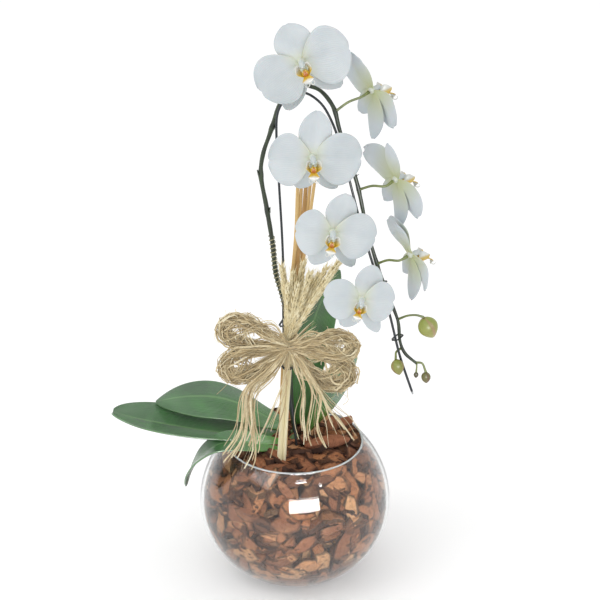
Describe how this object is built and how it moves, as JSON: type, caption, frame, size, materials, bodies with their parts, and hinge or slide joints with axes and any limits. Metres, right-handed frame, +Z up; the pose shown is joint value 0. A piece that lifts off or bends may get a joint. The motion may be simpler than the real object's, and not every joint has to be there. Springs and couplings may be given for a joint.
{
  "type": "moth orchid in glass bowl",
  "caption": "White moth orchid on an arched spike with buds and broad leaves, in a clear glass fish bowl of bark chips, dressed with wheat and a raffia bow.",
  "frame": {"origin": "middle of the glass bowl's flat base, on the surface that it stands on", "axes": "+Z up; -Y to the front, where the flowers look; +X to the side that the spike arches to"},
  "size_m": [0.323, 0.2394, 0.6076],
  "materials": {
    "clear_glass": "clear, polished, thin walled",
    "bark": "dry, flaky, matt",
    "crown_green": "waxy",
    "leaf_green": "waxy satin",
    "spike_green": "satin",
    "petal_white": "soft, slightly translucent",
    "lip_yellow": "waxy, streaked orange on white",
    "bud_green": "satin, flushed pink",
    "dark_wire": "dark green plastic coated wire",
    "clip_plastic": "dark green plastic",
    "twine": "twisted plant fibre",
    "wheat_straw": "dry, fibrous",
    "gold_straw": "dry, glossy streaks",
    "raffia": "dry flat plant fibre"
  },
  "bodies": {
    "root": {"glass_bowl": "clear_glass", "bark_chips": "bark", "root_crown": "crown_green", "flower_spike": "spike_green", "support_wire": "dark_wire", "stem_twine": "twine", "wheat_bundle": "wheat_straw", "gold_straws": "gold_straw", "binding_wire": "dark_wire", "raffia_bow": "raffia", "leaf_1": "leaf_green", "leaf_2": "leaf_green", "leaf_3": "leaf_green", "leaf_4": "leaf_green", "leaf_5": "leaf_green", "bloom_1": "petal_white", "bloom_2": "petal_white", "bloom_3": "petal_white", "bloom_4": "petal_white", "bloom_5": "petal_white", "bloom_6": "petal_white", "bloom_7": "petal_white", "lip_1": "lip_yellow", "lip_2": "lip_yellow", "lip_3": "lip_yellow", "lip_4": "lip_yellow", "lip_5": "lip_yellow", "lip_6": "lip_yellow", "lip_7": "lip_yellow", "bud_1": "bud_green", "bud_2": "bud_green", "bud_3": "bud_green", "bud_4": "bud_green", "clip_1": "clip_plastic", "clip_2": "clip_plastic", "clip_3": "clip_plastic", "clip_4": "clip_plastic", "clip_5": "clip_plastic"}
  },
  "joints": []
}
